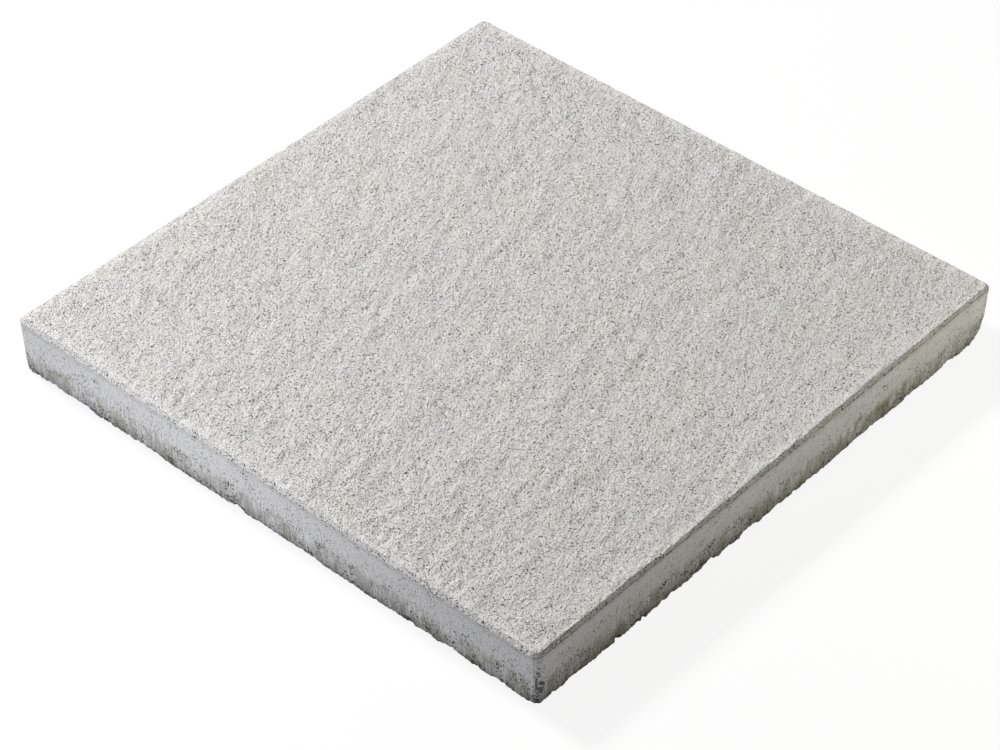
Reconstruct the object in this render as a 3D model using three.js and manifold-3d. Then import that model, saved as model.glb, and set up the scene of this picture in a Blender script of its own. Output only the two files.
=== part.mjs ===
// Concrete paving slab: one pressed casting, square in plan, with a riven wearing face,
// a chamfer round that face, sides that lean in towards the bedding face, and the broken
// lower arris and knocked corners that such a slab has once it has been handled.
// Millimetres, +Z up. The origin is the middle of the bedding face.

import * as THREE from 'three';
import { ImprovedNoise } from 'three/addons/math/ImprovedNoise.js';
import { mergeVertices } from 'three/addons/utils/BufferGeometryUtils.js';
import Module from 'manifold-3d';

// Overall sizes.
const SIZE_X = 400; // over the joint line, which is the widest part
const SIZE_Y = 400;
const THICKNESS = 40; // bedding face to the highest crests of the riven face

// What the mould gives.
const CHAMFER = 2.3; // leg of the 45 degree chamfer, down from the mean face
const SIDE_LEAN = 1.2; // how far each side comes in from the joint line to the bedding face
const CORNER_RADIUS = 5.5; // upright corners, at the joint line

// The riven face, a relief of shallow clefts that fades to a plainer rim.
const RIVEN_DEPTH = 1.8; // highest crest to deepest hollow
const CLEFT_LENGTH = 48; // from one crest to the next, along the clefts
const CLEFT_WIDTH = 14; // the same, across them
const CLEFT_ANGLE = 15; // degrees from +X to the clefts, half way along the slab
const CLEFT_FAN = 13; // degrees that they turn from there to each end of the slab
const SWELL_LENGTH = 150; // of the broad swells that the clefts lie on, along them
const SWELL_WIDTH = 70; // and across
const SWELL_SHARE = 0.95; // of half the depth, before the highest and lowest places are clipped
const CLEFT_SHARE = 0.52; // the same, of the clefts
const CLEFT_VARIETY = 0.38; // how much stronger or weaker the clefts get from place to place
const CLEFT_STEEPNESS = 2.6; // how sharply they step down
const FLAKE_SHARE = 0.25; // as for the swells, of the small flakes between clefts
const FLAKE_LENGTH = 25; // from one flake to the next, along the clefts
const FLAKE_WIDTH = 11; // and across
const RIM_WIDTH = 14; // over which the relief fades
const RIM_RELIEF = 0.4; // share of the relief that is left at the arris

// The lower arris, which the press leaves uneven.
const ARRIS_BREAK = 2.4; // most that it is broken back
const ARRIS_MEAN = 0.42; // share of that which is gone on average
const ARRIS_LEAST = 0.08; // share that is gone everywhere
const BITE_SHARE = 0.75; // how far the long bites stray from the average, as a share
const BITE_LENGTH = 30; // from one of them to the next
const CRUMB_SHARE = 0.45; // the same, of the short crumbs
const CRUMB_LENGTH = 11.5;

// Corners broken off at the foot. x and y say which corner, and the rest is how far the break
// reaches from it along the slab's own axes. The break stands out by the bulge in the middle.
const BROKEN_CORNERS = [
  { name: 'right', x: 1, y: -1, along: 15, across: 11, up: 19, bulge: 1.3 },
  { name: 'front', x: -1, y: -1, along: 5, across: 7, up: 6, bulge: 0.4 },
  { name: 'left', x: -1, y: 1, along: 8, across: 8, up: 9, bulge: 0.8 },
  { name: 'back', x: 1, y: 1, along: 7, across: 8, up: 10, bulge: 0.7 },
];

// Bites out of an arris. x and y are shares of the half sizes, z is above the bedding face, and
// the rest are the half lengths of the missing lump along the slab's own axes.
const BITES = [
  { name: 'front corner, shank', x: -0.99, y: -1, z: 15, along: 5.2, across: 2.6, up: 7.5 },
  { name: 'front right side, near', x: -0.12, y: -1, z: -0.6, along: 6.5, across: 4.2, up: 3.8 },
  { name: 'front right side, far', x: 0.37, y: -1, z: -0.6, along: 9.5, across: 3.6, up: 3.2 },
  { name: 'front left side', x: -1, y: -0.7, z: -0.7, along: 3.8, across: 13, up: 3.4 },
];

// How finely the curved and uneven stretches are cut.
const ARRIS_STEP = 6; // along the sides
const CORNER_STEPS = 5; // round each upright corner
const FACE_STEP_ALONG = 10.5; // on the riven face, along the clefts
const FACE_STEP_ACROSS = 4.2; // and across them
const BREAK_STEP = 3.2; // on the face of a broken corner
const TOOL_MARGIN = 6; // how far the face's cutting tool overhangs the slab
const BREAK_LUMP = 8; // from one lump of a broken corner's face to the next
const BREAK_ROUGHNESS = 0.35; // height of those lumps, as a share of the bulge
const STONE_ROUGHNESS = 0.28; // how uneven a bitten lump is, as a share of its half lengths
const OVERCUT = 0.5; // how far the blank stands above the crests before it is cut
const SHARPEST_CORNER = 0.3; // least radius that a deep inset leaves
const SLIVER = 0.02; // edges shorter than this, left where two cuts cross, are closed up

const JOINT_LINE = THICKNESS - RIVEN_DEPTH / 2 - CHAMFER;
const LAYERS = { swell: 1.3, drift: 4.1, cleft: 5.9, flake: 9.4, bite: 3.7, crumb: 8.2 };
const noise = new ImprovedNoise();
const { clamp, degToRad, smoothstep } = THREE.MathUtils;

const wasm = await Module();
wasm.setup();

/** A closed three.js geometry as a solid that can be cut. */
function solidOf(geometry) {
  const bare = geometry.clone();
  bare.deleteAttribute('normal');
  bare.deleteAttribute('uv');
  const merged = mergeVertices(bare, 1e-4);
  return new wasm.Manifold(new wasm.Mesh({
    numProp: 3,
    vertProperties: merged.attributes.position.array,
    triVerts: new Uint32Array(merged.index.array),
  }));
}

/** A solid back as a three.js geometry. */
function geometryOf(solid) {
  const mesh = solid.getMesh();
  const geometry = new THREE.BufferGeometry();
  geometry.setAttribute('position', new THREE.BufferAttribute(mesh.vertProperties, 3));
  geometry.setIndex(new THREE.BufferAttribute(mesh.triVerts, 1));
  geometry.computeVertexNormals();
  return geometry;
}

/** Moves every vertex of a geometry by a rule that changes the vector it is given. */
function reshape(geometry, rule) {
  const position = geometry.attributes.position;
  const vertex = new THREE.Vector3();
  for (let i = 0; i < position.count; i++) {
    rule(vertex.fromBufferAttribute(position, i));
    position.setXYZ(i, vertex.x, vertex.y, vertex.z);
  }
  return geometry;
}

/** Points round the joint line, with stations along the sides for the uneven arris. */
function outline() {
  const x = SIZE_X / 2 - CORNER_RADIUS;
  const y = SIZE_Y / 2 - CORNER_RADIUS;
  const path = new THREE.Path();
  path.absarc(x, -y, CORNER_RADIUS, -Math.PI / 2, 0);
  path.absarc(x, y, CORNER_RADIUS, 0, Math.PI / 2);
  path.absarc(-x, y, CORNER_RADIUS, Math.PI / 2, Math.PI);
  path.absarc(-x, -y, CORNER_RADIUS, Math.PI, 1.5 * Math.PI);
  path.closePath();
  return path.curves.flatMap((curve) => {
    const pieces = curve.isLineCurve ? Math.round(curve.getLength() / ARRIS_STEP) : CORNER_STEPS;
    return curve.getPoints(pieces).slice(1);
  });
}

/** A point of the outline moved in square to its side, with the upright corners kept round. */
function insetPoint(point, inset, z) {
  const coreX = SIZE_X / 2 - CORNER_RADIUS;
  const coreY = SIZE_Y / 2 - CORNER_RADIUS;
  const core = new THREE.Vector2(clamp(point.x, -coreX, coreX), clamp(point.y, -coreY, coreY));
  const outward = point.clone().sub(core).normalize();
  const radius = Math.max(CORNER_RADIUS - inset, SHARPEST_CORNER);
  const tuck = inset + radius;
  return new THREE.Vector3(
    core.x * (SIZE_X / 2 - tuck) / coreX + outward.x * radius,
    core.y * (SIZE_Y / 2 - tuck) / coreY + outward.y * radius,
    z,
  );
}

/** Noise between -1 and 1, whose crests lie about 1 apart. */
function crests(x, y, layer) {
  return noise.noise(2 * x, 2 * y, layer);
}

/** How far the lower arris is broken back near a point of the outline. */
function arrisBreak({ x, y }) {
  const bites = BITE_SHARE * crests(x / BITE_LENGTH, y / BITE_LENGTH, LAYERS.bite);
  const crumbs = CRUMB_SHARE * crests(x / CRUMB_LENGTH, y / CRUMB_LENGTH, LAYERS.crumb);
  return ARRIS_BREAK * clamp(ARRIS_MEAN + bites + crumbs, ARRIS_LEAST, 1);
}

/** How far in from the joint line a side has come at a height, by its lean alone. */
function leanAt(z) {
  return SIDE_LEAN * (1 - z / JOINT_LINE);
}

/** A closed solid through level rings of points, lowest first, its ends closed to their middles. */
function loft(rings) {
  const count = rings[0].length;
  const top = rings.length - 1;
  const foot = rings.length * count;
  const head = foot + 1;
  const points = rings.flat();
  points.push(new THREE.Vector3(0, 0, rings[0][0].z), new THREE.Vector3(0, 0, rings[top][0].z));
  const index = [];
  for (let i = 0; i < count; i++) {
    const next = (i + 1) % count;
    for (let ring = 0; ring < top; ring++) {
      const low = ring * count;
      const high = low + count;
      index.push(low + i, low + next, high + next, low + i, high + next, high + i);
    }
    index.push(foot, next, i, head, top * count + i, top * count + next);
  }
  return new THREE.BufferGeometry().setFromPoints(points).setIndex(index);
}

/** The slab as the mould and the press leave it, still standing proud of its face. */
function blank() {
  const points = outline();
  const proud = THICKNESS + OVERCUT;
  const ring = (place) => points.map((point) => {
    const { z, inset } = place(arrisBreak(point));
    return insetPoint(point, inset, z);
  });
  return loft([
    ring((bite) => ({ z: 0, inset: leanAt(0) + bite })),
    ring((bite) => ({ z: 0.3 * bite, inset: leanAt(0.3 * bite) + 0.4 * bite })),
    ring((bite) => ({ z: 1.1 * bite, inset: leanAt(1.1 * bite) })),
    ring(() => ({ z: JOINT_LINE, inset: 0 })),
    ring(() => ({ z: proud, inset: proud - JOINT_LINE })),
  ]);
}

/** Height of the riven face over a point of the slab. */
function faceHeight(x, y) {
  const turn = degToRad(CLEFT_ANGLE + CLEFT_FAN * 2 * y / SIZE_Y);
  const along = x * Math.cos(turn) + y * Math.sin(turn);
  const across = y * Math.cos(turn) - x * Math.sin(turn);
  const swell = crests(along / SWELL_LENGTH, across / SWELL_WIDTH, LAYERS.swell);
  const drift = crests(along / SWELL_LENGTH, across / SWELL_WIDTH, LAYERS.drift);
  const cleft = crests(along / CLEFT_LENGTH + swell / 2, across / CLEFT_WIDTH + drift, LAYERS.cleft);
  const flake = crests(along / FLAKE_LENGTH, across / FLAKE_WIDTH, LAYERS.flake);
  const step = (CLEFT_SHARE + CLEFT_VARIETY * drift) * Math.tanh(CLEFT_STEEPNESS * cleft);
  const relief = clamp(SWELL_SHARE * swell + step + FLAKE_SHARE * flake, -1, 1);
  const edge = Math.min(SIZE_X / 2 - Math.abs(x), SIZE_Y / 2 - Math.abs(y));
  const fade = RIM_RELIEF + (1 - RIM_RELIEF) * smoothstep(edge, 0, RIM_WIDTH);
  return THICKNESS - RIVEN_DEPTH / 2 * (1 - relief * fade);
}

/** All that lies above the riven face, as a block whose underside is that face. */
function aboveTheFace() {
  const turn = degToRad(CLEFT_ANGLE);
  const length = SIZE_X * Math.cos(turn) + SIZE_Y * Math.sin(turn) + 2 * TOOL_MARGIN;
  const width = SIZE_X * Math.sin(turn) + SIZE_Y * Math.cos(turn) + 2 * TOOL_MARGIN;
  const block = new THREE.BoxGeometry(
    length, width, 1,
    Math.round(length / FACE_STEP_ALONG), Math.round(width / FACE_STEP_ACROSS), 1,
  );
  block.rotateZ(turn);
  return reshape(block, (p) => {
    p.z = p.z < 0 ? faceHeight(p.x, p.y) : THICKNESS + TOOL_MARGIN;
  });
}

/** What a broken corner has lost, as a block whose inner face is the rough, bulging break. */
function brokenCorner({ x, y, along, across, up, bulge }) {
  const outward = new THREE.Vector3(x / along, y / across, -1 / up);
  const depth = 1 / outward.length();
  outward.normalize();
  const reach = 2 * Math.max(along, across, up);
  const steps = Math.round(2 * reach / BREAK_STEP);
  const block = new THREE.BoxGeometry(2 * reach, 2 * reach, reach, steps, steps, 1);
  reshape(block, (p) => {
    const lumps = BREAK_ROUGHNESS * crests(p.x / BREAK_LUMP, p.y / BREAK_LUMP, along);
    const crown = 1 - (p.x ** 2 + p.y ** 2) / depth ** 2;
    p.z = p.z < 0 ? bulge * (Math.max(crown, -1) + lumps) : reach;
  });
  block.applyQuaternion(new THREE.Quaternion().setFromUnitVectors(new THREE.Vector3(0, 0, 1), outward));
  const foot = new THREE.Vector3(x * SIZE_X / 2, y * SIZE_Y / 2, 0).addScaledVector(outward, -depth);
  return block.translate(foot.x, foot.y, foot.z);
}

/** The rough lump that a bite takes out. */
function lump(bite) {
  const stone = new THREE.IcosahedronGeometry(1, 1);
  return reshape(stone, (p) => {
    p.multiplyScalar(1 + STONE_ROUGHNESS * crests(p.x + bite.x * SIZE_X, p.y + bite.y * SIZE_Y, p.z));
    p.multiply(new THREE.Vector3(bite.along, bite.across, bite.up));
    p.add(new THREE.Vector3(bite.x * SIZE_X / 2, bite.y * SIZE_Y / 2, bite.z));
  });
}

/** The finished slab: the blank, less what is above its face and what has been knocked off. */
function slab() {
  let body = solidOf(blank()).subtract(solidOf(aboveTheFace()));
  for (const corner of BROKEN_CORNERS) body = body.subtract(solidOf(brokenCorner(corner)));
  for (const bite of BITES) body = body.subtract(solidOf(lump(bite)));
  const concrete = new THREE.MeshStandardMaterial({ color: 0xc9c8c3, roughness: 0.92, metalness: 0 });
  const mesh = new THREE.Mesh(geometryOf(body.simplify(SLIVER)), concrete);
  mesh.name = 'slab';
  return mesh;
}

const model = new THREE.Group();
model.name = 'concrete_paving_slab';
model.add(slab());

export default model;
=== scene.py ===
"""Looks of a pressed concrete paving slab: one casting with a riven, sand-textured face.

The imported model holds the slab's true form. A fine skin is laid over that form, a Geometry
Nodes tree roughens it as the mould and the press leave it, a procedural concrete dresses it,
and a plain studio lights it.
"""
import logging
import math
from dataclasses import dataclass, field, fields
from enum import Enum
from typing import NamedTuple

import bpy
import numpy as np
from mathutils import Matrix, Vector
from mathutils.bvhtree import BVHTree


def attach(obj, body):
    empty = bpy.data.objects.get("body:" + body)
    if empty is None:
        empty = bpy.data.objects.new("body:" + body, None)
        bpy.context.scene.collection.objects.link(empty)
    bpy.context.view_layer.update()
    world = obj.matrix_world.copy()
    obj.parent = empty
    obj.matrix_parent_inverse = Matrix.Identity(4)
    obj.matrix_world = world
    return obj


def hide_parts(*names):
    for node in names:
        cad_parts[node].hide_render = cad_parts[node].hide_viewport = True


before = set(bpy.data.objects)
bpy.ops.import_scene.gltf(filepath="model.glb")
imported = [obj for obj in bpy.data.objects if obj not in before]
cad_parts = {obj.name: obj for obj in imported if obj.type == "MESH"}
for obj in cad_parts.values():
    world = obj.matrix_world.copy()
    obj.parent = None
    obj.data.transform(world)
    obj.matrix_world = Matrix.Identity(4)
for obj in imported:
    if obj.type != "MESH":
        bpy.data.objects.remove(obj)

log = logging.getLogger("slab")

Tree = bpy.types.NodeTree
Node = bpy.types.Node
Socket = bpy.types.NodeSocket
Source = Node | Socket  # what a link can start from
Given = dict[str, Socket]  # a tree's named inputs
Span = tuple[float, float]  # where something starts, and where it is whole

MM = 0.001
INSET = "inset"  # attribute: how far inside the joint line a point of the face lies, in metres
ON_BED = -1 * MM  # the same attribute on the bed, which has no face
BELOW = "below"  # attribute: how far under the riven face a point lies, in metres
BROKEN = "broken"  # attribute: how much of the side is missing at a point, in metres

MATH, VECTOR, NOISE = "ShaderNodeMath", "ShaderNodeVectorMath", "ShaderNodeTexNoise"
MIX = "ShaderNodeMix"  # of a factor, what shows at 0 and what shows at 1
RANGE = "ShaderNodeMapRange"  # of a value, where it starts and ends, and what it gives there
TIMES = {"operation": "MULTIPLY"}
TIMES_PLUS = {"operation": "MULTIPLY_ADD"}
SMOOTH = {"interpolation_type": "SMOOTHSTEP"}
COLOURS = {"data_type": "RGBA"}
SEEDED = {"noise_dimensions": "4D", "normalize": False}  # noise about 0, whose W takes the seed
CREST = 2.0  # how far apart the crests of noise at scale 1 lie


def linear(hex_colour: str) -> tuple[float, float, float, float]:
    """Turns an sRGB hex colour such as "c8c6c0" into linear red, green, blue and alpha.

    Args:
        hex_colour: six hex digits.

    Returns:
        The four linear values that a shader socket takes.
    """
    shares = (int(hex_colour[i:i + 2], 16) / 255 for i in (0, 2, 4))
    return (*(s / 12.92 if s <= 0.04045 else ((s + 0.055) / 1.055) ** 2.4 for s in shares), 1.0)


def add(tree: Tree, kind: str, inputs: dict | tuple = (), **settings) -> Node:
    """Adds a node to a tree with its settings, and fills its inputs.

    Args:
        tree: the tree of a material or of Geometry Nodes.
        kind: the node's type.
        inputs: what goes into the inputs in use, in order or by name: a value, or a socket to
            link, or a node whose first output in use is linked.
        settings: the node's own properties.

    Returns:
        The new node.
    """
    node = tree.nodes.new(kind)
    for name, value in settings.items():
        setattr(node, name, value)
    ready = [socket for socket in node.inputs if socket.enabled]
    if isinstance(inputs, dict):
        pairs = [(next(s for s in ready if s.name == name), inputs[name]) for name in inputs]
    else:
        pairs = zip(ready, inputs)
    for target, value in pairs:
        if isinstance(value, Node):
            value = next(socket for socket in value.outputs if socket.enabled)
        if isinstance(value, Socket):
            tree.links.new(value, target)
        else:
            target.default_value = value
    return node


@dataclass
class SlabSkin:
    """The slab's whole surface as one closed mesh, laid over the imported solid.

    Args:
        solid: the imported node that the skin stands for.
    """

    solid: bpy.types.Object
    cells: int = 224  # across the face each way, a multiple of bed_step
    arris_cells: int = 12  # of those, the narrow ones at each edge
    arris_pitch: float = 0.35 * MM
    corner_radius: float = 5.5 * MM
    least_radius: float = 0.1 * MM  # of a corner of the bed
    corner_reach: float = 20 * MM  # how far round a corner the side's rays fan out
    rim: float = 3.6 * MM  # inside this the riven face is read; outside, it is carried on
    read_pitch: float = 1.6 * MM  # of the height readings
    read_slack: float = 0.01 * MM
    soften: float = 1.5 * MM  # standard deviation of their smoothing
    soften_reach: float = 3.0  # in standard deviations
    side_split: int = 2  # side columns to one cell of the face
    joint_row: float = 0.6 * MM  # height of the first row under the joint line
    side_rows: int = 12
    foot_rows: int = 8
    foot_height: float = 5 * MM
    bed_step: int = 4  # cells of the face to one of the bed
    bed_margin: float = 9 * MM
    clear: float = 12 * MM  # from which rays start
    lowest_ray: float = 0.05 * MM  # above the bed, so that the ray meets the side
    joint_line: float = field(init=False)
    lean: float = field(init=False)  # how far the sides come in for each metre down
    half: np.ndarray = field(init=False)
    tree: BVHTree = field(init=False)

    def __post_init__(self) -> None:
        """Reads the solid: its half sizes, its widest line, its faces and its sides' lean."""
        mesh = self.solid.data
        points = np.empty(len(mesh.vertices) * 3, np.float32)
        mesh.vertices.foreach_get("co", points)
        points = points.reshape(-1, 3)
        self.half = np.abs(points[:, :2]).max(axis=0)
        widest = np.abs(points[:, 0]) > self.half[0] - self.read_slack
        self.joint_line = float(points[widest, 2].max())
        corners = [tuple(point) for point in points.tolist()]
        faces = [tuple(face.vertices) for face in mesh.polygons]
        self.tree = BVHTree.FromPolygons(corners, faces)
        half_way = self.joint_line / 2
        start = Vector((self.half[0] + self.clear, 0, half_way))
        gap = self.tree.ray_cast(start, Vector((-1, 0, 0)))[3]
        self.lean = (gap - self.clear) / (self.joint_line - half_way)

    def grid_lines(self) -> np.ndarray:
        """Places of the grid's lines from -1 to 1, close together at the arrises.

        Returns:
            The places, in rising order.
        """
        band = self.arris_cells * self.arris_pitch
        middle = self.cells - 2 * self.arris_cells
        edge = np.arange(self.arris_cells) * self.arris_pitch
        inner = np.linspace(band, 2 * self.half[0] - band, middle + 1)
        whole = np.concatenate([edge, inner, 2 * self.half[0] - edge[::-1]])
        return whole / self.half[0] - 1

    def plan(self, lines: np.ndarray, inset: float) -> np.ndarray:
        """Places a grid of points on the slab's round-cornered plan.

        Args:
            lines: where the grid's lines cross either axis, from -1 to 1.
            inset: how far inside the joint line the plan's edge lies.

        Returns:
            The places in metres, one to a row.
        """
        square = np.stack(np.meshgrid(lines, lines, indexing="ij"), -1).reshape(-1, 2)
        half = self.half - inset
        core = half - max(self.corner_radius - inset, self.least_radius)
        place = square * half
        beyond = np.maximum(np.abs(place) - core, 0)
        reach = np.hypot(beyond[:, 0], beyond[:, 1])
        in_corner = beyond.min(axis=1) > 0
        squeeze = np.divide(beyond.max(axis=1), reach, out=np.ones_like(reach), where=in_corner)
        return np.sign(place) * (np.minimum(np.abs(place), core) + beyond * squeeze[:, None])

    def inset_of(self, place: np.ndarray) -> np.ndarray:
        """How far each place lies inside the joint line.

        Args:
            place: places of the plan, one to a row.

        Returns:
            The distances in metres.
        """
        beyond = np.maximum(np.abs(place) - (self.half - self.corner_radius), 0)
        straight = (self.half - np.abs(place)).min(axis=1)
        round_corner = self.corner_radius - np.hypot(beyond[:, 0], beyond[:, 1])
        return np.where(beyond.min(axis=1) > 0, round_corner, straight)

    def face_heights(self, place: np.ndarray) -> np.ndarray:
        """Heights of the riven face, free of the solid's facets.

        Args:
            place: places of the plan, one to a row.

        Returns:
            The face's height over each place, in metres.
        """
        reach = self.half - self.rim
        count = np.ceil(2 * reach / self.read_pitch).astype(int) + 1
        xs, ys = (np.linspace(-reach[i], reach[i], count[i]) for i in (0, 1))
        down, start = Vector((0, 0, -1)), self.joint_line + self.clear
        hits = [[self.tree.ray_cast(Vector((x, y, start)), down)[0] for y in ys] for x in xs]
        heights = np.array([[hit.z for hit in row] for row in hits])
        spread = int(self.soften_reach * self.soften / self.read_pitch)
        off = np.arange(-spread, spread + 1) * self.read_pitch / self.soften
        weights = np.exp(-0.5 * off ** 2)
        weights /= weights.sum()
        for axis in (0, 1):
            margins = [(spread, spread) if i == axis else (0, 0) for i in (0, 1)]
            padded = np.pad(heights, margins, mode="edge")
            heights = np.apply_along_axis(np.convolve, axis, padded, weights, "valid")
        last = count - 1.001  # a little short of the last line, so that there is a next one
        at_x = np.clip((place[:, 0] + reach[0]) / (xs[1] - xs[0]), 0, last[0])
        at_y = np.clip((place[:, 1] + reach[1]) / (ys[1] - ys[0]), 0, last[1])
        i, j = at_x.astype(int), at_y.astype(int)
        u, v = at_x - i, at_y - j
        low = heights[i, j] * (1 - u) + heights[i + 1, j] * u
        high = heights[i, j + 1] * (1 - u) + heights[i + 1, j + 1] * u
        return low * (1 - v) + high * v

    def side_point(self, edge: np.ndarray, z: float) -> tuple[float, float, float, float]:
        """Finds the solid's side behind a point of the joint line at a height.

        Args:
            edge: the point of the joint line.
            z: the height.

        Returns:
            The place, and how much of the side is missing there.
        """
        past = np.maximum(np.abs(edge) - (self.half - self.corner_reach), 0)
        outward = np.sign(edge) * past / np.hypot(*past)
        start = Vector((*(edge + outward * self.clear), max(z, self.lowest_ray)))
        hit, _, _, gap = self.tree.ray_cast(start, Vector((*-outward, 0)))
        missing = gap - self.clear - self.lean * (self.joint_line - z)
        return (hit.x, hit.y, z, max(missing, 0.0))

    @staticmethod
    def grid_faces(start: int, cells: int, upward: bool) -> list[tuple[int, ...]]:
        """The square faces of a grid whose points are numbered row by row.

        Args:
            start: the number of its first point.
            cells: how many squares it has each way.
            upward: whether the faces look up.

        Returns:
            The point numbers of each face.
        """
        row = cells + 1
        corners = [start + i * row + j for i in range(cells) for j in range(cells)]
        if upward:
            return [(c, c + row, c + row + 1, c + 1) for c in corners]
        return [(c, c + 1, c + row + 1, c + row) for c in corners]

    @staticmethod
    def edge_of(start: int, cells: int) -> list[int]:
        """Point numbers round the edge of a grid, anticlockwise from its low corner.

        Args:
            start: the number of the grid's first point.
            cells: how many squares it has each way.

        Returns:
            The numbers, each once.
        """
        row = cells + 1
        run = range(cells)
        return (
            [start + i * row for i in run]
            + [start + cells * row + j for j in run]
            + [start + (cells - i) * row + cells for i in run]
            + [start + cells - j for j in run]
        )

    @staticmethod
    def fans(coarse: list[int], fine: list[int], coarse_above: bool) -> list[tuple[int, ...]]:
        """Triangles that close the gap between two rings of points.

        Args:
            coarse: the ring with fewer points.
            fine: the ring with a whole number of times as many.
            coarse_above: whether the coarse ring is the upper one.

        Returns:
            The point numbers of each triangle.
        """
        step = len(fine) // len(coarse)
        faces = []
        for k, near in enumerate(coarse):
            far = coarse[(k + 1) % len(coarse)]
            run = [fine[(k * step + s) % len(fine)] for s in range(step + 1)]
            middle = step // 2
            faces += [(near, run[s], run[s + 1]) for s in range(middle)]
            faces.append((near, run[middle], far))
            faces += [(far, run[s], run[s + 1]) for s in range(middle, step)]
        return faces if coarse_above else [face[::-1] for face in faces]

    def side_heights(self) -> np.ndarray:
        """Heights of the side's rows, from just under the joint line to the bed."""
        upper = np.linspace(self.joint_line - self.joint_row, self.foot_height, self.side_rows)
        return np.concatenate([upper, np.linspace(self.foot_height, 0, self.foot_rows + 1)[1:]])

    def build(self) -> bpy.types.Object:
        """Builds the closed skin as an object at the origin.

        Returns:
            The object. Its INSET attribute is 0 on the sides and ON_BED on the bed.
        """
        lines = self.grid_lines()
        top = self.plan(lines, 0)
        inset = self.inset_of(top)
        riven = self.face_heights(top)
        z = np.minimum(riven, self.joint_line + inset)
        points = [(*p, 0.0) for p in np.column_stack([top, z])]
        faces = self.grid_faces(0, self.cells, upward=True)

        rim = self.edge_of(0, self.cells)
        corners = top[rim]
        shares = np.arange(self.side_split) / self.side_split
        ahead = np.roll(corners, -1, axis=0)
        edge = (corners[:, None] + (ahead - corners)[:, None] * shares[:, None]).reshape(-1, 2)
        count = len(edge)
        above = rim
        for height in self.side_heights():
            row = list(range(len(points), len(points) + count))
            points += [self.side_point(place, float(height)) for place in edge]
            if above is rim:
                faces += self.fans(rim, row, coarse_above=True)
            else:
                faces += [(above[k - 1], row[k - 1], row[k], above[k]) for k in range(count)]
            above = row

        bed_cells = self.cells // self.bed_step
        start = len(points)
        bed = self.plan(lines[:: self.bed_step], self.bed_margin)
        points += [(x, y, 0.0, 0.0) for x, y in bed]
        faces += self.grid_faces(start, bed_cells, upward=False)
        faces += self.fans(self.edge_of(start, bed_cells), above, coarse_above=False)

        mesh = bpy.data.meshes.new("slab_casting")
        mesh.from_pydata([point[:3] for point in points], [], faces)
        mesh.shade_smooth()
        inside = np.zeros(len(points), np.float32)
        inside[: len(inset)] = inset
        inside[start:] = ON_BED
        below = np.full(len(points), self.joint_line, np.float32)
        below[: len(inset)] = riven - z
        broken = np.array([point[3] for point in points], np.float32)
        for name, values in ((INSET, inside), (BELOW, below), (BROKEN, broken)):
            mesh.attributes.new(name, "FLOAT", "POINT").data.foreach_set("value", values)
        skin = bpy.data.objects.new("slab_casting", mesh)
        bpy.context.scene.collection.objects.link(skin)
        return skin


@dataclass
class SurfaceTree:
    """A Geometry Nodes tree with named inputs that is run once and then made a plain mesh."""

    name: str
    seed: int = 7

    def sizes(self) -> dict[str, float]:
        """The tree's named inputs and their values: the fields that are plain measures."""
        measures = {part.name: getattr(self, part.name) for part in fields(self) if part.type is float}
        return {name.replace("_", " ").title(): value for name, value in measures.items()}

    def grow(self, tree: Tree, given: Given) -> Source:
        """Adds the tree's own nodes and returns the geometry that they make."""
        raise NotImplementedError

    def run(self, host: bpy.types.Object, material: bpy.types.Material) -> None:
        """Runs the tree on an object and leaves its result there as a plain mesh.

        Args:
            host: the object, whose mesh is replaced.
            material: the finish of all that the tree makes.
        """
        tree = bpy.data.node_groups.new(self.name, "GeometryNodeTree")
        sockets = tree.interface
        sockets.new_socket("Geometry", in_out="INPUT", socket_type="NodeSocketGeometry")
        sockets.new_socket("Geometry", in_out="OUTPUT", socket_type="NodeSocketGeometry")
        values = self.sizes() | {"Seed": self.seed}
        keys = {}
        for name, value in values.items():
            kind = "NodeSocketInt" if isinstance(value, int) else "NodeSocketFloat"
            keys[name] = sockets.new_socket(name, in_out="INPUT", socket_type=kind).identifier
        start = add(tree, "NodeGroupInput")
        made = self.grow(tree, {socket.name: socket for socket in start.outputs if socket.name})
        real = add(tree, "GeometryNodeRealizeInstances", (made,))
        dressed = add(tree, "GeometryNodeSetMaterial", {"Geometry": real, "Material": material})
        add(tree, "NodeGroupOutput", (dressed,))

        modifier = host.modifiers.new(self.name, "NODES")
        modifier.node_group = tree
        for name, value in values.items():
            modifier[keys[name]] = value
        graph = bpy.context.evaluated_depsgraph_get()
        mesh = bpy.data.meshes.new_from_object(
            host.evaluated_get(graph), preserve_all_data_layers=True, depsgraph=graph
        )
        host.modifiers.clear()
        mesh.name = host.name
        host.data = mesh


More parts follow.
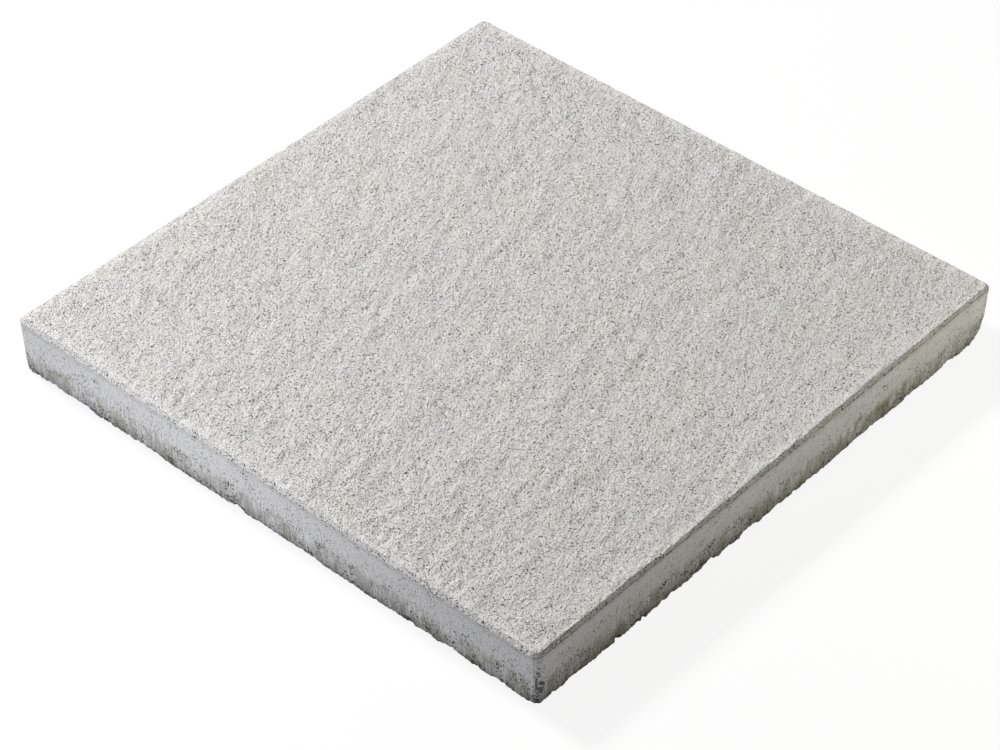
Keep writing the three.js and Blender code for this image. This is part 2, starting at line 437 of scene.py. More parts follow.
@dataclass
class PressedRelief(SurfaceTree):
    """What the mould and the press leave on the casting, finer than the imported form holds."""

    name: str = "pressed_relief"
    ripple_depth: float = 0.43 * MM  # small flakes between the clefts of the riven face
    ripple_length: float = 28 * MM
    ripple_width: float = 12 * MM
    ripple_steepness: float = 3.5  # they are flat on top and step down sharply
    ripple_angle: float = math.radians(25)
    ripple_fan: float = math.radians(13)
    fan_reach: float = 200 * MM  # from the middle to where the fan is full
    calm_size: float = 70 * MM  # from a stretch of strong flakes to the next
    calm_swing: float = 1.0  # how much the flakes' depth swings on the way
    grit_depth: float = 0.12 * MM  # sand under the skin of cement
    grit_size: float = 4 * MM
    face_edge: float = 4 * MM  # inside the joint line, where the face's relief is full
    drag_depth: float = 0.16 * MM  # upright scratches from pushing the slab out of the mould
    drag_width: float = 2.4 * MM
    drag_length: float = 16 * MM
    pore_depth: float = 0.9 * MM
    pore_size: float = 4.2 * MM  # from one pore to the next
    pore_span: Span = (0.42, 0.2)  # its brim and its floor, in pore sizes
    crumb_depth: float = 1.3 * MM  # of the torn lower arris
    crumb_size: float = 4 * MM
    crumb_span: Span = (0.35, 0.8)  # noise where it is whole and where it is gone
    chip_depth: float = 2.4 * MM  # where whole lumps of it came away
    chip_size: float = 20 * MM
    chip_span: Span = (0.52, 0.7)
    foot_height: float = 6 * MM
    rough_height: float = 19 * MM  # up to which the sides are torn

    def grow(self, tree: Tree, given: Given) -> Source:
        """Moves each point along its normal by the relief where it is, but never below the bed.

        Args:
            tree: the tree.
            given: its named inputs.

        Returns:
            The moved geometry, with what the foot lost added to BROKEN.
        """
        place = add(tree, "GeometryNodeInputPosition")
        inset, broken = (
            add(tree, "GeometryNodeInputNamedAttribute", (name,), data_type="FLOAT")
            for name in (INSET, BROKEN)
        )
        axes = add(tree, "ShaderNodeSeparateXYZ", (place,))
        face = self.face_relief(tree, given, place, axes.outputs["Y"])
        side = self.side_relief(tree, given, place, axes.outputs["Z"])
        lost = self.foot_loss(tree, given, place, axes.outputs["Z"])
        left = add(tree, MATH, (side, lost), operation="SUBTRACT")
        on_face = add(tree, RANGE, (inset, 0.0, given["Face Edge"]), **SMOOTH)
        height = add(tree, MIX, (on_face, left, face))
        off_bed = add(tree, "FunctionNodeCompare", (inset, ON_BED / 2), operation="GREATER_THAN")
        standing = add(tree, MATH, (height, off_bed), **TIMES)
        normal = add(tree, "GeometryNodeInputNormal")
        shift = add(tree, VECTOR, (normal, standing), operation="SCALE")
        target = add(tree, VECTOR, (place, shift), operation="ADD")
        far = -1.0  # metres, past the slab's reach, so that only its height is held
        above = add(tree, VECTOR, (target, (far, far, 0.0)), operation="MAXIMUM")
        missing = add(tree, MATH, (broken, lost), operation="ADD")
        record = {"Geometry": given["Geometry"], "Name": BROKEN, "Value": missing}
        marked = add(tree, "GeometryNodeStoreNamedAttribute", record, data_type="FLOAT", domain="POINT")
        return add(tree, "GeometryNodeSetPosition", {"Geometry": marked, "Position": above})

    def face_relief(self, tree: Tree, given: Given, place: Source, y: Source) -> Source:
        """Height of flakes and sand over the riven face.

        Args:
            tree: the tree.
            given: its named inputs.
            place: where each point is.
            y: the part of that along the slab.

        Returns:
            The height in metres.
        """
        share = add(tree, MATH, (y, given["Fan Reach"]), operation="DIVIDE")
        turn = add(tree, MATH, (share, given["Ripple Fan"], given["Ripple Angle"]), **TIMES_PLUS)
        back = {"Vector": place, "Angle": add(tree, MATH, (turn, -1.0), **TIMES)}
        turned = add(tree, "ShaderNodeVectorRotate", back, rotation_type="Z_AXIS")
        width = given["Ripple Width"]
        pitch = add(tree, "ShaderNodeCombineXYZ", (given["Ripple Length"], width, width))
        cells = add(tree, VECTOR, (turned, pitch), operation="DIVIDE")
        flaky = {"Vector": cells, "Scale": CREST, "Detail": 1.5, "Roughness": 0.6, "Distortion": 0.5}
        flakes = add(tree, NOISE, {"W": given["Seed"], **flaky}, **SEEDED)
        noises = []
        for size, roughness in (("Calm Size", 0.5), ("Grit Size", 0.7)):
            scale = add(tree, MATH, (CREST, given[size]), operation="DIVIDE")
            even = {"Vector": place, "Scale": scale, "Detail": 1.0, "Roughness": roughness}
            noises.append(add(tree, NOISE, {"W": given["Seed"], **even}, **SEEDED))
        stretches, sand = noises
        strength = add(tree, MATH, (stretches, given["Calm Swing"], 1.0), **TIMES_PLUS)
        deep = add(tree, MATH, (strength, given["Ripple Depth"]), **TIMES)
        steep = add(tree, MATH, (flakes, given["Ripple Steepness"]), **TIMES)
        stepped = add(tree, MATH, (steep,), operation="TANH")
        flaked = add(tree, MATH, (stepped, deep), **TIMES)
        return add(tree, MATH, (sand, given["Grit Depth"], flaked), **TIMES_PLUS)

    def side_relief(self, tree: Tree, given: Given, place: Source, level: Source) -> Source:
        """Height of the sides over the mould's plane: drag marks and pores.

        Args:
            tree: the tree.
            given: its named inputs.
            place: where each point is.
            level: its height.

        Returns:
            The height in metres.
        """
        torn = add(tree, RANGE, (level, given["Rough Height"], given["Foot Height"]), **SMOOTH)
        width = given["Drag Width"]
        pitch = add(tree, "ShaderNodeCombineXYZ", (width, width, given["Drag Length"]))
        cells = add(tree, VECTOR, (place, pitch), operation="DIVIDE")
        scratchy = {"Vector": cells, "W": given["Seed"], "Scale": CREST, "Detail": 1.0}
        drags = add(tree, NOISE, scratchy, **SEEDED)
        dragged = add(tree, MATH, (drags, given["Drag Depth"]), **TIMES)
        scale = add(tree, MATH, (1.0, given["Pore Size"]), operation="DIVIDE")
        spots = {"Vector": place, "W": given["Seed"], "Scale": scale}
        pores = add(tree, "ShaderNodeTexVoronoi", spots, voronoi_dimensions="4D")
        pitted = add(tree, RANGE, (pores, *self.pore_span), **SMOOTH)
        sunk = add(tree, MATH, (pitted, given["Pore Depth"]), **TIMES)
        rough = add(tree, MATH, (dragged, sunk), operation="SUBTRACT")
        return add(tree, MATH, (rough, torn), **TIMES)

    def foot_loss(self, tree: Tree, given: Given, place: Source, level: Source) -> Source:
        """How much crumbled away at the lower arris as the slab left the press.

        Args:
            tree: the tree.
            given: its named inputs.
            place: where each point is.
            level: its height.

        Returns:
            The loss in metres.
        """
        loss = 0.0
        for lump, span in (("Crumb", self.crumb_span), ("Chip", self.chip_span)):
            scale = add(tree, MATH, (CREST, given[f"{lump} Size"]), operation="DIVIDE")
            lumpy = {"Vector": place, "Scale": scale, "Detail": 2.0, "Roughness": 0.6}
            noise = add(tree, NOISE, {"W": given["Seed"], **lumpy}, noise_dimensions="4D")
            share = add(tree, RANGE, (noise, *span), **SMOOTH)
            loss = add(tree, MATH, (share, given[f"{lump} Depth"], loss), **TIMES_PLUS)
        at_foot = add(tree, RANGE, (level, given["Foot Height"], 0.0), **SMOOTH)
        return add(tree, MATH, (loss, at_foot), **TIMES)


class Zone(Enum):
    """The ways in which the casting's surface comes out of the press, each laid over the last."""

    BED = "open, tamped concrete"
    SIDE = "paste smeared by the steel mould"
    TORN = "broken through to the sand"
    CHAMFER = "sand pressed short of paste into the plate's rim"
    FACE = "sand under the riven plate"


class Layer(NamedTuple):
    """How one zone of the surface looks: its colour, and its height in millimetres."""

    colour: Source
    height: Source


class Sand(NamedTuple):
    """The grain that all of the concrete shares: tone about 1, with painted shade at the grains' rims;
    gaps up to 1, where shade is painted; height in millimetres.
    """

    tone: Source
    gaps: Source
    height: Source


@dataclass(frozen=True)
class PressedConcrete:
    """Semi-dry concrete of pale cement and sharp sand, pressed in a steel mould.

    The face is matt and granular, because each grain of sand carries only a film of paste and
    the gaps between grains stay open; the shade in those gaps and at the grains' rims is painted.
    Down the sides the mould smears the paste smooth and pale. Half way down the mix runs short of
    it: there it drags into dull upright patches with open pores, and breaks ragged at the lower
    arris. The pores and the breaks are painted dark, as the shade inside them.
    """

    paste: str = "dddcdb"  # cement on the sand of the face
    blush: str = "dfdbd9"  # where warmer sand shows through it
    straw: str = "dddcd6"  # and where yellower sand does
    skin: str = "cccccd"  # smooth paste of the sides
    dull: str = "b3b3ae"  # the same where it was dragged thin
    moss: str = "8a866f"  # and where it took up fines from the mould
    bare: str = "b3b1aa"  # concrete of the bed
    roughness: float = 0.88
    cloud: float = 55 * MM  # of warmer and of yellower sand
    cloud_span: Span = (0.48, 0.75)  # noise at a cloud's rim and where it is full

    # The sand. Heights and depths without MM are in millimetres, the bump node's distance.
    grain: float = 0.7 * MM
    grain_variety: float = 0.1  # how far their tones lie from the mean
    grain_rim: Span = (0.45, 0.85)  # its start and end, in grains from the middle
    grain_rim_shade: float = 0.45  # painted shade: how much darker the rim is than the crown
    grain_height: float = 0.13
    rubble: float = 5.5 * MM  # the widest lumps of the fine relief
    rubble_height: float = 0.36
    rubble_lay: float = math.radians(22)  # the lumps are drawn out along the clefts
    rubble_stretch: float = 1.6
    rubble_finer: float = 0.7  # each finer layer's share of the one before
    gap: float = 2.0 * MM  # between openings in the sand, drawn coarse enough to show
    gap_depth: float = 0.35
    # painted shade at the bottom of a gap or the pit of a lost grain, as a share of the tone
    gap_shade: float = 0.13
    gap_span: Span = (-0.05, 0.45)  # noise where the rims start to open, and gape
    lost_grains: float = 0.03  # share of the grains that came away with the plate
    patch: float = 24 * MM  # areas with more and with fewer gaps and lost grains
    patch_gaps: float = 0.12  # how far they shift the noise of the gaps
    patch_lost: float = 0.4  # and the share of lost grains
    rim: float = 14 * MM  # towards the arris the plate lies flatter and leaves the grain calmer
    rim_calm: float = 0.6

    # The joint and the lip, which is the rough band under it.
    joint_line: float = 36.8 * MM  # height at which the plate's rim meets the mould
    joint_half: float = 0.2 * MM  # half of the blend there
    face_blend: float = 0.25 * MM  # how far under the face its own sand reaches
    lip: float = 2.0 * MM
    # painted shade of the lip, whose rough sand would shade itself: its tone against the face's
    chamfer_shade: float = 0.9
    chamfer_gap_shade: float = 1.4  # how much darker again the gaps are there, as painted shade
    chamfer_rough: float = 1.5  # how much higher its relief is than the face's
    seam_tone: float = 0.72  # of the lines above and below the lip
    seam_half: float = 0.5 * MM
    seam_height: float = 0.25

    # Broken edges.
    fray: float = 1.0 * MM  # how far the joint wanders up and down
    fray_size: float = 12 * MM
    # painted shade of the breaks, standing in for the shade in their rough hollows
    torn_shade: float = 0.22
    torn_depth: Span = (0.4 * MM, 0.65 * MM)  # missing material that shows as a break
    torn_lump: float = 3.5 * MM  # width of the crumbs along a break
    torn_height: float = 5.25 * MM
    torn_fray: float = 2.4  # how much more and less a crumb shows
    corner: Span = (196.2 * MM, 198.2 * MM)  # on both axes, where corners wear
    corner_top: Span = (30 * MM, 21 * MM)  # height where the wear starts, and is full
    corner_wear: float = 0.9 * MM  # it shows as if this much were missing: real wear, under the breaks' painted shade

    # The sides.
    side_grain: float = 0.6  # share of the face's grain that shows through their paste
    curtain_width: float = 14 * MM  # of the dragged patches
    curtain_length: float = 50 * MM
    curtain_span: Span = (-0.45, 0.35)  # noise where the paste thins, and is thin
    half_height: float = 18 * MM  # where the smooth paste ends
    half_wander: float = 5 * MM
    half_blend: float = 3 * MM
    foot: float = 14 * MM  # from here down the sides darken towards the bed
    foot_tone: float = 0.55
    streak_width: float = 2.2 * MM
    streak_length: float = 20 * MM
    streak_height: float = 0.08
    streak_tone: float = 0.32
    pore_width: float = 2.4 * MM
    pore_length: float = 3.4 * MM
    pore_depth: float = 0.8
    # painted shade inside a pore, nearly black
    pore_shade: float = 0.03
    pore_span: Span = (0.74, 0.79)  # noise at a pore's brim and inside it
    pore_cluster: float = 17 * MM
    pore_crowding: float = 0.45  # how much the clusters add to that noise
    pore_drag: float = 0.3  # and how much the dragged patches do
    pinhole: float = 0.45  # how dark a pinhole's painted shade is against a pore's
    pinhole_span: Span = (0.35, 0.6)  # gaps of the sand that show as pinholes

    # The bed.
    bed_blend: Span = (0.7 * ON_BED, 0.3 * ON_BED)  # INSET from bed to sides
    bed_rough: float = 2.0  # how much higher its relief is than the face's
    bed_dust: float = 0.5  # share of its own colour

    def build(self) -> bpy.types.Material:
        """Makes the material.

        Returns:
            The material. It reads Object coordinates and the skin's attributes.
        """
        material = bpy.data.materials.new("semi_dry_pressed_concrete")
        material.use_nodes = True
        tree = material.node_tree
        tree.nodes.clear()
        place = add(tree, "ShaderNodeTexCoord").outputs["Object"]
        sand = self.sand(tree, place)
        seams = self.seams(tree, place)
        face = self.face(tree, place, sand)
        layers = {
            Zone.BED: self.bed(tree, face),
            Zone.SIDE: self.side(tree, place, sand, seams),
            # the breaks are the face's sand under painted shade
            Zone.TORN: self.toned(tree, face, self.torn_shade),
            Zone.CHAMFER: self.chamfer(tree, face, sand, seams),
            Zone.FACE: face,
        }
        shown = layers[Zone.BED]
        for zone, mask in self.masks(tree, place).items():
            colours = (mask, shown.colour, layers[zone].colour)
            heights = (mask, shown.height, layers[zone].height)
            shown = Layer(add(tree, MIX, colours, **COLOURS), add(tree, MIX, heights))
        bump = add(tree, "ShaderNodeBump", {"Height": shown.height, "Distance": MM, "Strength": 1.0})
        look = {"Base Color": shown.colour, "Roughness": self.roughness, "Normal": bump}
        shader = add(tree, "ShaderNodeBsdfPrincipled", look)
        add(tree, "ShaderNodeOutputMaterial", {"Surface": shader})
        return material

    def masks(self, tree: Tree, place: Source) -> dict[Zone, Source]:
        """Where each zone covers those before it, from the skin's attributes.

        Args:
            tree: the material's tree.
            place: Object coordinates.

        Returns:
            A mask for each zone but the bed, 1 where the zone shows.
        """
        inset, below, broken = (
            add(tree, "ShaderNodeAttribute", attribute_name=name).outputs["Fac"]
            for name in (INSET, BELOW, BROKEN)
        )
        outwards = add(tree, VECTOR, (place,), operation="ABSOLUTE")
        axes = add(tree, "ShaderNodeSeparateXYZ", (outwards,))
        level = axes.outputs["Z"]
        corner = add(tree, MATH, (axes.outputs["X"], axes.outputs["Y"]), operation="MINIMUM")
        bared = add(tree, RANGE, (corner, *self.corner, 0.0, self.corner_wear))
        short = add(tree, RANGE, (level, *self.corner_top))
        worn = add(tree, MATH, (bared, short, broken), **TIMES_PLUS)
        crumbs = self.drawn_noise(tree, place, self.torn_lump, self.torn_height, 3.0)
        share = add(tree, MATH, (crumbs, self.torn_fray, 1.0), **TIMES_PLUS)
        frayed = add(tree, MATH, (share, worn), **TIMES)
        rough = {"Vector": place, "Scale": CREST / self.fray_size, "Detail": 4.0, "Roughness": 0.7}
        ragged = add(tree, NOISE, rough, normalize=False)
        edged = add(tree, MATH, (ragged, self.fray, level), **TIMES_PLUS)
        spans = {
            Zone.SIDE: (inset, *self.bed_blend),
            Zone.TORN: (frayed, *self.torn_depth),
            Zone.CHAMFER: (edged, self.joint_line - self.joint_half, self.joint_line + self.joint_half),
            Zone.FACE: (below, self.face_blend, 0.0),
        }
        return {zone: add(tree, RANGE, span, **SMOOTH) for zone, span in spans.items()}

    @staticmethod
    def toned(tree: Tree, layer: Layer, tone: float | Source) -> Layer:
        """Darkens or lightens a layer's colour.

        Args:
            tree: the material's tree.
            layer: the layer.
            tone: what its colour is multiplied by; 1 leaves it as it is.

        Returns:
            The layer with its new colour.
        """
        grey = add(tree, "ShaderNodeCombineColor", (tone, tone, tone))
        colour = add(tree, MIX, (1.0, layer.colour, grey), blend_type="MULTIPLY", **COLOURS)
        return Layer(colour, layer.height)

    def sand(self, tree: Tree, place: Source) -> Sand:
        """Adds the grain that all of the concrete shares.

        Args:
            tree: the material's tree.
            place: Object coordinates.

        Returns:
            Its tone, with painted shade at the grains' rims, its gaps and its height.
        """
        cells = add(tree, "ShaderNodeTexVoronoi", {"Vector": place, "Scale": 1 / self.grain})
        chance = add(tree, "ShaderNodeSeparateColor", (cells.outputs["Color"],)).outputs["Red"]
        rims = add(tree, RANGE, (cells, *self.grain_rim), **SMOOTH)
        variety = self.grain_variety
        varied = add(tree, RANGE, (chance, 0.0, 1.0, 1 - variety, 1 + variety))
        # painted shade: each grain's rim is darker than its crown, as the shade between grains
        shaded = add(tree, MATH, (rims, -self.grain_rim_shade, 1.0), **TIMES_PLUS)
        tone = add(tree, MATH, (varied, shaded), **TIMES)

        lay = {"Rotation": (0.0, 0.0, self.rubble_lay), "Scale": (self.rubble_stretch, 1.0, 1.0)}
        laid = add(tree, "ShaderNodeMapping", {"Vector": place, **lay}, vector_type="TEXTURE")
        finer = {"Scale": CREST / self.rubble, "Detail": 4.0, "Roughness": self.rubble_finer}
        rubble = add(tree, NOISE, {"Vector": laid, **finer}, normalize=False)
        domes = add(tree, MATH, (rims, -self.grain_height), **TIMES)
        lumps = add(tree, MATH, (rubble, self.rubble_height, domes), **TIMES_PLUS)
        inset = add(tree, "ShaderNodeAttribute", attribute_name=INSET).outputs["Fac"]
        calmed = add(tree, RANGE, (inset, 0.0, self.rim, self.rim_calm, 1.0), **SMOOTH)
        every = self.gaps(tree, place, chance, rims)
        gaps = add(tree, MATH, (every, calmed), **TIMES)
        rough = add(tree, MATH, (every, -self.gap_depth, lumps), **TIMES_PLUS)
        height = add(tree, MATH, (rough, calmed), **TIMES)
        return Sand(tone, gaps, height)

    def gaps(self, tree: Tree, place: Source, chance: Source, rims: Source) -> Source:
        """Open gaps between grains and the pits of lost ones, in patches.

        Args:
            tree: the material's tree.
            place: Object coordinates.
            chance: a random value from 0 to 1 for each grain.
            rims: 1 at the grains' rims.

        Returns:
            The mask, 1 at the bottom of a gap: there the relief sinks and shade is painted.
        """
        dense = {"Vector": place, "Scale": CREST / self.gap, "Detail": 2.0, "Roughness": 0.7}
        scatter = add(tree, NOISE, dense, normalize=False)
        broad = {"Vector": place, "Scale": CREST / self.patch, "Detail": 1.0}
        patches = add(tree, NOISE, broad, normalize=False)
        both = add(tree, MATH, (patches, self.patch_gaps, scatter), **TIMES_PLUS)
        gaping = add(tree, RANGE, (both, *self.gap_span), **SMOOTH)
        sunk = add(tree, MATH, (gaping, rims), **TIMES)
        more = self.patch_lost * self.lost_grains
        likely = add(tree, MATH, (patches, more, self.lost_grains), **TIMES_PLUS)
        lost = add(tree, MATH, (chance, likely), operation="LESS_THAN")
        return add(tree, MATH, (sunk, lost), operation="MAXIMUM")

    def face(self, tree: Tree, place: Source, sand: Sand) -> Layer:
        """Sand that a film of paste holds, with clouds of colour and painted shade in its gaps.

        Args:
            tree: the material's tree.
            place: Object coordinates.
            sand: the grain.

        Returns:
            The layer.
        """
        # painted shade in the open gaps and in the pits of lost grains
        tone = add(tree, MIX, (sand.gaps, sand.tone, self.gap_shade))
        colour = linear(self.paste)
        for w, tint in enumerate((self.blush, self.straw)):
            colour = add(tree, MIX, (self.clouds(tree, place, float(w)), colour, linear(tint)), **COLOURS)
        return self.toned(tree, Layer(colour, sand.height), tone)

    def clouds(self, tree: Tree, place: Source, w: float) -> Source:
        """Broad clouds of another colour.

        Args:
            tree: the material's tree.
            place: Object coordinates.
            w: clouds of different w never lie alike.

        Returns:
            The mask, 1 inside a cloud.
        """
        broad = {"Vector": place, "W": w, "Scale": CREST / self.cloud, "Detail": 3.0, "Roughness": 0.6}
        cloud = add(tree, NOISE, broad, noise_dimensions="4D")
        return add(tree, RANGE, (cloud, *self.cloud_span), **SMOOTH)

    def seams(self, tree: Tree, place: Source) -> Source:
        """The fine lines that the plate's rim leaves, above and below the lip.

        Args:
            tree: the material's tree.
            place: Object coordinates.

        Returns:
            The mask, 1 on a line.
        """
        away = add(tree, "ShaderNodeSeparateXYZ", (place,)).outputs["Z"]
        for line in (self.joint_line - self.lip / 2, self.lip / 2):  # the lip's middle, then its edges
            past = add(tree, MATH, (away, line), operation="SUBTRACT")
            away = add(tree, MATH, (past,), operation="ABSOLUTE")
        return add(tree, RANGE, (away, self.seam_half, 0.0), **SMOOTH)

    def seamed(self, tree: Tree, layer: Layer, seams: Source) -> Layer:
        """Draws the seams on a layer, as dark lines with a little ridge.

        Args:
            tree: the material's tree.
            layer: the layer.
            seams: their mask.

        Returns:
            The layer with the seams.
        """
        tone = add(tree, MIX, (seams, 1.0, self.seam_tone))
        ridged = add(tree, MATH, (seams, self.seam_height, layer.height), **TIMES_PLUS)
        return self.toned(tree, Layer(layer.colour, ridged), tone)

    def chamfer(self, tree: Tree, face: Layer, sand: Sand, seams: Source) -> Layer:
        """The face's sand, pressed less hard, with deeper gaps: painted darker as shade, and darker still
        in its gaps.

        Args:
            tree: the material's tree.
            face: the face's layer.
            sand: the grain.
            seams: the mask of the seams.

        Returns:
            The layer.
        """
        # painted shade of the lip, darker in its gaps
        gaping = (sand.gaps, -self.chamfer_gap_shade, self.chamfer_shade)
        tone = add(tree, MATH, gaping, use_clamp=True, **TIMES_PLUS)
        rough = add(tree, MATH, (face.height, self.chamfer_rough), **TIMES)
        return self.seamed(tree, self.toned(tree, Layer(face.colour, rough), tone), seams)

    @staticmethod
    def drawn_noise(tree: Tree, place: Source, width: float, length: float, detail: float) -> Source:
        """Noise about 0 that is drawn out upright, as the mould drags the concrete.

        Args:
            tree: the material's tree.
            place: Object coordinates.
            width: from one crest to the next along the side.
            length: and up it.
            detail: finer layers of noise added.

        Returns:
            The noise.
        """
        pitch = add(tree, VECTOR, (place, (1 / width, 1 / width, 1 / length)), **TIMES)
        drawn = {"Vector": pitch, "Scale": CREST, "Detail": detail, "Roughness": 0.6}
        return add(tree, NOISE, drawn, normalize=False)

    def side(self, tree: Tree, place: Source, sand: Sand, seams: Source) -> Layer:
        """Paste against the mould: smooth above, dragged and porous below, with painted shade in the
        pores.

        Args:
            tree: the material's tree.
            place: Object coordinates.
            sand: the grain, which shows through the paste.
            seams: the mask of the seams.

        Returns:
            The layer.
        """
        level = add(tree, "ShaderNodeSeparateXYZ", (place,)).outputs["Z"]
        curtains = self.drawn_noise(tree, place, self.curtain_width, self.curtain_length, 2.0)
        streaks = self.drawn_noise(tree, place, self.streak_width, self.streak_length, 1.0)
        wander = add(tree, MATH, (curtains, self.half_wander, level), **TIMES_PLUS)
        down = (self.half_height + self.half_blend, self.half_height - self.half_blend)
        dragged = add(tree, RANGE, (wander, *down), **SMOOTH)
        thin = add(tree, RANGE, (curtains, *self.curtain_span), **SMOOTH)
        dulled = add(tree, MATH, (thin, dragged), **TIMES)
        mossy = add(tree, MATH, (self.clouds(tree, place, 2.0), dulled), **TIMES)
        colour = linear(self.skin)
        for share, tint in ((dulled, self.dull), (mossy, self.moss)):
            colour = add(tree, MIX, (share, colour, linear(tint)), **COLOURS)

        # the grain's tone, with its painted rim shade, shows through the paste at a share
        speckle = add(tree, MATH, (sand.tone, self.side_grain, 1 - self.side_grain), **TIMES_PLUS)
        lines = add(tree, MATH, (streaks, dragged), **TIMES)
        streaked = add(tree, MATH, (lines, self.streak_tone, speckle), **TIMES_PLUS)
        lower = add(tree, RANGE, (level, self.foot, 0.0, 1.0, self.foot_tone))
        lowered = add(tree, MATH, (streaked, lower), **TIMES)
        pores = self.pores(tree, place, dragged, sand.gaps)
        # painted shade inside the pores and pinholes
        tone = add(tree, MIX, (pores, lowered, self.pore_shade))
        smooth = add(tree, MATH, (streaks, self.streak_height), **TIMES)
        pitted = add(tree, MATH, (pores, -self.pore_depth, smooth), **TIMES_PLUS)
        return self.seamed(tree, self.toned(tree, Layer(colour, pitted), tone), seams)

    def pores(self, tree: Tree, place: Source, dragged: Source, gaps: Source) -> Source:
        """Pores of the sides: in clusters where the concrete was dragged, pinholes elsewhere.

        Args:
            tree: the material's tree.
            place: Object coordinates.
            dragged: 1 where the mould dragged the concrete.
            gaps: the open gaps of the sand, a few of which show through the paste.

        Returns:
            The mask, 1 inside a pore.
        """
        noise = self.drawn_noise(tree, place, self.pore_width, self.pore_length, 2.0)
        broad = {"Vector": place, "Scale": CREST / self.pore_cluster, "Detail": 1.0}
        clusters = add(tree, NOISE, broad, normalize=False)
        for where, more in ((clusters, self.pore_crowding), (dragged, self.pore_drag)):
            noise = add(tree, MATH, (where, more, noise), **TIMES_PLUS)
        holes = add(tree, RANGE, (noise, *self.pore_span), **SMOOTH)
        fine = add(tree, RANGE, (gaps, *self.pinhole_span, 0.0, self.pinhole))
        return add(tree, MATH, (holes, fine), operation="MAXIMUM")

    def bed(self, tree: Tree, face: Layer) -> Layer:
        """The underside: the same grain, coarse and bare of paste."""
        rough = add(tree, MATH, (face.height, self.bed_rough), **TIMES)
        return Layer(add(tree, MIX, (self.bed_dust, face.colour, linear(self.bare)), **COLOURS), rough)


@dataclass(frozen=True)
class WhitePaper:
    """Matt white background paper, smooth to the eye.

    The camera sees it lit through, so that only the slab's shadow marks it.
    """

    colour: str = "f4f4f4"
    roughness: float = 0.9
    lift: float = 0.88  # share of it that the camera sees as plain white

    def build(self) -> bpy.types.Material:
        """Makes the material.

        Returns:
            The material.
        """
        material = bpy.data.materials.new("white_paper_floor")
        material.use_nodes = True
        tree = material.node_tree
        tree.nodes.clear()
        matt = {"Base Color": linear(self.colour), "Roughness": self.roughness}
        sheet = add(tree, "ShaderNodeBsdfPrincipled", matt)
        glow = add(tree, "ShaderNodeEmission", {"Color": linear("ffffff"), "Strength": 1.0})
        seen = add(tree, "ShaderNodeLightPath").outputs["Is Camera Ray"]
        share = add(tree, MATH, (seen, self.lift), **TIMES)
        lit = add(tree, "ShaderNodeMixShader", (share, sheet, glow))
        add(tree, "ShaderNodeOutputMaterial", {"Surface": lit})
        return material


@dataclass
class Lamp:
    """A square soft lamp that faces the slab."""

    name: str
    turn: float  # degrees from +X towards +Y to where it stands
    rise: float  # degrees above the floor
    away: float  # metres from the slab's middle
    size: float  # metres along one side of it
    watts: float
    colour: str = "ffffff"

    def build(self) -> None:
        """Adds the lamp, which the camera doesn't see."""
        data = bpy.data.lights.new(self.name, "AREA")
        data.size = self.size
        data.energy = self.watts
        data.color = linear(self.colour)[:3]
        lamp = bpy.data.objects.new(self.name, data)
        a, e = math.radians(self.turn), math.radians(self.rise)
        towards = Vector((math.cos(a) * math.cos(e), math.sin(a) * math.cos(e), math.sin(e)))
        lamp.location = towards * self.away
        lamp.rotation_euler = towards.to_track_quat("Z", "Y").to_euler()
        lamp.visible_camera = False
        bpy.context.scene.collection.objects.link(lamp)


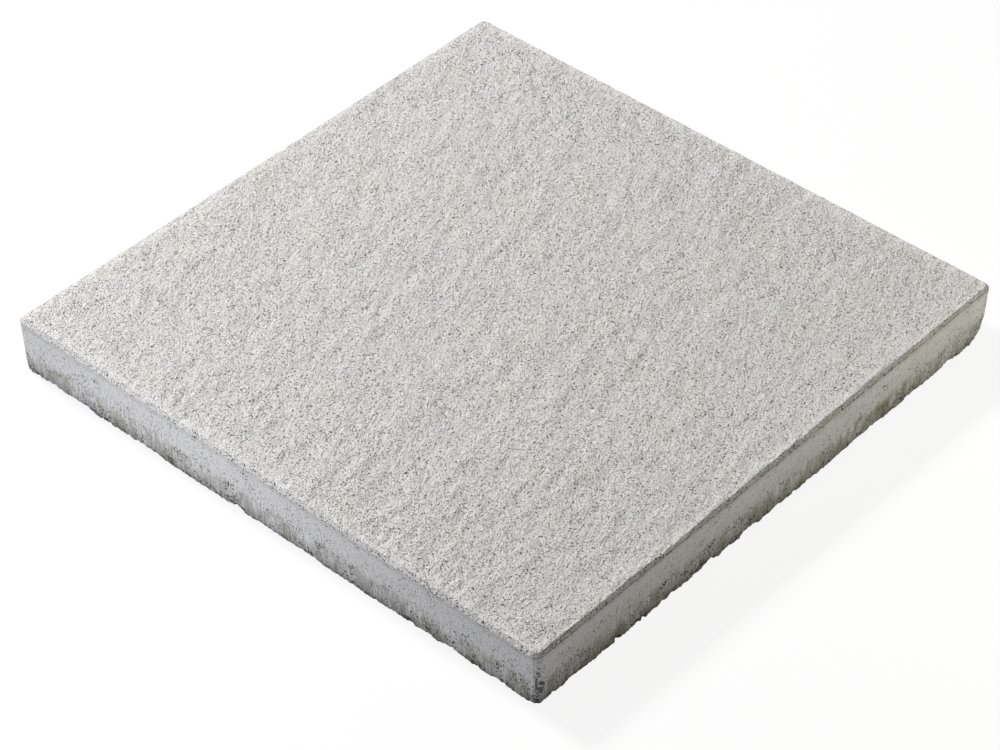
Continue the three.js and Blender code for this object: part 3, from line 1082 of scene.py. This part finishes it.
@dataclass
class Studio:
    """A plain pale floor, soft lamps and the camera."""

    azimuth: float = -48.04  # degrees from -Y towards +X to where the camera stands
    elevation: float = 41.71
    aim: tuple[float, float, float] = (-34.97 * MM, -25.64 * MM, 20 * MM)
    distance: float = 1781.3 * MM
    focal_length: float = 112.2  # millimetres
    sensor_width: float = 36.0
    nearest: float = 50 * MM  # that the camera sees
    floor_size: float = 6.0
    floor_gap: float = 0.02 * MM  # keeps the floor clear of the bed that lies on it
    air: float = 0.02  # light from all round

    def camera(self) -> None:
        """Places the camera and makes it the scene's own."""
        data = bpy.data.cameras.new("camera")
        data.lens = self.focal_length
        data.sensor_width = self.sensor_width
        data.clip_start = self.nearest
        camera = bpy.data.objects.new("camera", data)
        bpy.context.scene.collection.objects.link(camera)
        a, e = math.radians(self.azimuth), math.radians(self.elevation)
        back = Vector((math.sin(a) * math.cos(e), -math.cos(a) * math.cos(e), math.sin(e)))
        camera.location = Vector(self.aim) + back * self.distance
        camera.rotation_euler = back.to_track_quat("Z", "Y").to_euler()
        bpy.context.scene.camera = camera

    def floor(self) -> None:
        """Adds the floor."""
        half, level = self.floor_size / 2, -self.floor_gap
        corners = [(x * half, y * half, level) for x, y in ((-1, -1), (1, -1), (1, 1), (-1, 1))]
        mesh = bpy.data.meshes.new("floor")
        mesh.from_pydata(corners, [], [range(4)])
        floor = bpy.data.objects.new("floor", mesh)
        bpy.context.scene.collection.objects.link(floor)
        mesh.materials.append(WhitePaper().build())

    def build(self) -> None:
        """Sets up the whole studio."""
        self.camera()
        self.floor()
        for lamp in (
            Lamp("key", turn=94, rise=46, away=2.1, size=0.36, watts=58),
            Lamp("overhead", turn=270, rise=66, away=1.3, size=0.9, watts=1.6),
            Lamp("left_near", turn=172, rise=12, away=0.42, size=0.22, watts=0.282, colour="fafaff"),
            Lamp("left_far", turn=148, rise=12, away=0.75, size=0.22, watts=0.199, colour="fafaff"),
            Lamp("right_fill", turn=300, rise=18, away=0.7, size=0.3, watts=1.12, colour="fcf7e1"),
        ):
            lamp.build()
        world = bpy.data.worlds.new("studio_air")
        world.use_nodes = True
        air = world.node_tree.nodes["Background"]
        air.inputs["Color"].default_value = linear("ffffff")
        air.inputs["Strength"].default_value = self.air
        bpy.context.scene.world = world
        bpy.context.scene.view_settings.view_transform = "Standard"


def main() -> None:
    """Builds the slab and its studio."""
    logging.basicConfig(level=logging.INFO, format="%(name)s: %(message)s")
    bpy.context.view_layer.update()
    casting = SlabSkin(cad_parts["slab"])
    skin = casting.build()
    PressedRelief().run(skin, PressedConcrete(joint_line=casting.joint_line).build())
    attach(skin, "root")
    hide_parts("slab")
    triangles = sum(len(face.vertices) - 2 for face in skin.data.polygons)
    log.info("%s: %d faces, %d triangles", skin.name, len(skin.data.polygons), triangles)
    Studio().build()


if __name__ == "__main__":
    main()
